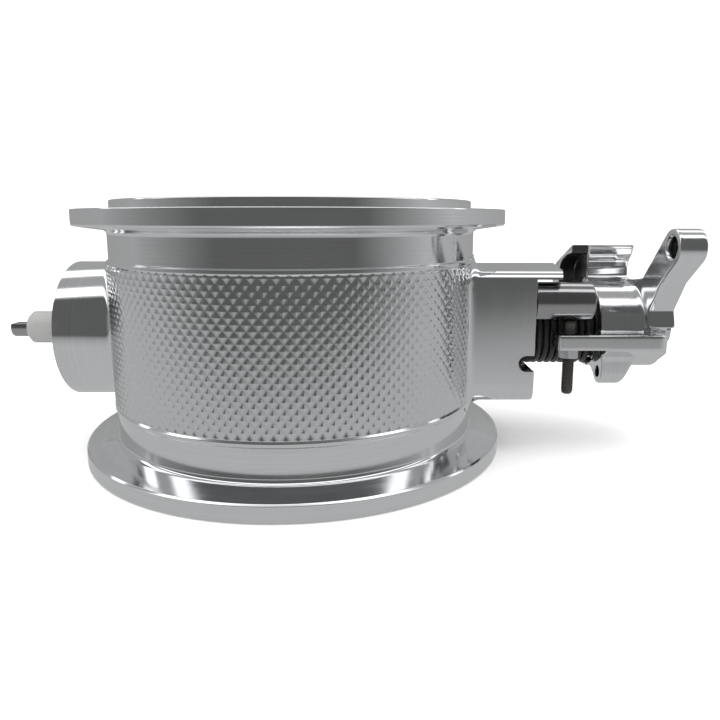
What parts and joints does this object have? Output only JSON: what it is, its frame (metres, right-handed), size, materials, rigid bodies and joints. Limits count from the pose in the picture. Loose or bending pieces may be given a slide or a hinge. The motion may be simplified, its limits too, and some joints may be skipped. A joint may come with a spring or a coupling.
{
  "type": "throttle body",
  "caption": "Inline billet throttle body: flanged barrel with a knurled band, butterfly blade on a cross shaft, sensor drive boss, and a sprung lever with an idle stop.",
  "frame": {"origin": "centre of the lower joint face on the bore axis", "axes": "+X along the throttle shaft towards the lever, +Z along the bore axis towards the pilot lip, -Y is the side the idle stop faces"},
  "size_m": [0.2412, 0.148, 0.0865],
  "materials": {
    "housing_aluminium": "bright turned and diamond knurled",
    "lever_aluminium": "bright machined",
    "blade_aluminium": "fine turned",
    "post_steel": "ground",
    "shaft_steel": "ground",
    "bearing_steel": "polished",
    "ball_cage_brass": "satin",
    "seal_rubber": "matt",
    "clip_steel": "black oxide",
    "black_screw_steel": "black oxide",
    "washer_steel": "zinc plated",
    "spring_steel": "black oxide",
    "white_acetal": "machined",
    "guide_nylon": "moulded"
  },
  "bodies": {
    "housing": {"throttle_housing": "housing_aluminium", "idle_stop_post": "post_steel", "left_bearing_outer_ring": "bearing_steel", "right_bearing_outer_ring": "bearing_steel", "left_shaft_seal": "seal_rubber", "right_shaft_seal": "seal_rubber", "left_retaining_ring": "clip_steel", "right_retaining_ring": "clip_steel", "spring_guide": "guide_nylon", "return_spring": "spring_steel"},
    "throttle": {"throttle_shaft": "shaft_steel", "throttle_blade": "blade_aluminium", "blade_screw_1": "black_screw_steel", "blade_screw_2": "black_screw_steel", "blade_screw_3": "black_screw_steel", "blade_screw_4": "black_screw_steel", "left_bearing_inner_ring": "bearing_steel", "right_bearing_inner_ring": "bearing_steel", "sensor_drive_sleeve": "white_acetal", "throttle_lever": "lever_aluminium", "lever_washer": "washer_steel", "lever_nut": "washer_steel", "idle_jam_nut": "washer_steel"},
    "idle_screw": {"idle_stop_screw": "black_screw_steel"},
    "left_balls": {"left_bearing_ball_set": "ball_cage_brass"},
    "right_balls": {"right_bearing_ball_set": "ball_cage_brass"}
  },
  "joints": [
    {"name": "throttle_turn", "type": "hinge", "parent": "housing", "child": "throttle", "pos_m": [0, 0, 0.041], "axis": [1, 0, 0], "range_deg": [0, 80], "stiffness_Nm_per_rad": 0.32, "springref_deg": -68.75, "deforming": ["return_spring"]},
    {"name": "idle_screw_adjust", "type": "slide", "parent": "throttle", "child": "idle_screw", "axis": [0, 0, 1], "range_m": [-0.003, 0]},
    {"name": "left_balls_turn", "type": "hinge", "parent": "housing", "child": "left_balls", "pos_m": [-0.0726, 0, 0.041], "axis": [1, 0, 0], "range_deg": [0, 34]},
    {"name": "right_balls_turn", "type": "hinge", "parent": "housing", "child": "right_balls", "pos_m": [0.078, 0, 0.041], "axis": [1, 0, 0], "range_deg": [0, 34]}
  ],
  "couplings": [
    {"joint": "left_balls_turn", "follows": "throttle_turn", "ratio": 0.414},
    {"joint": "right_balls_turn", "follows": "throttle_turn", "ratio": 0.414}
  ]
}
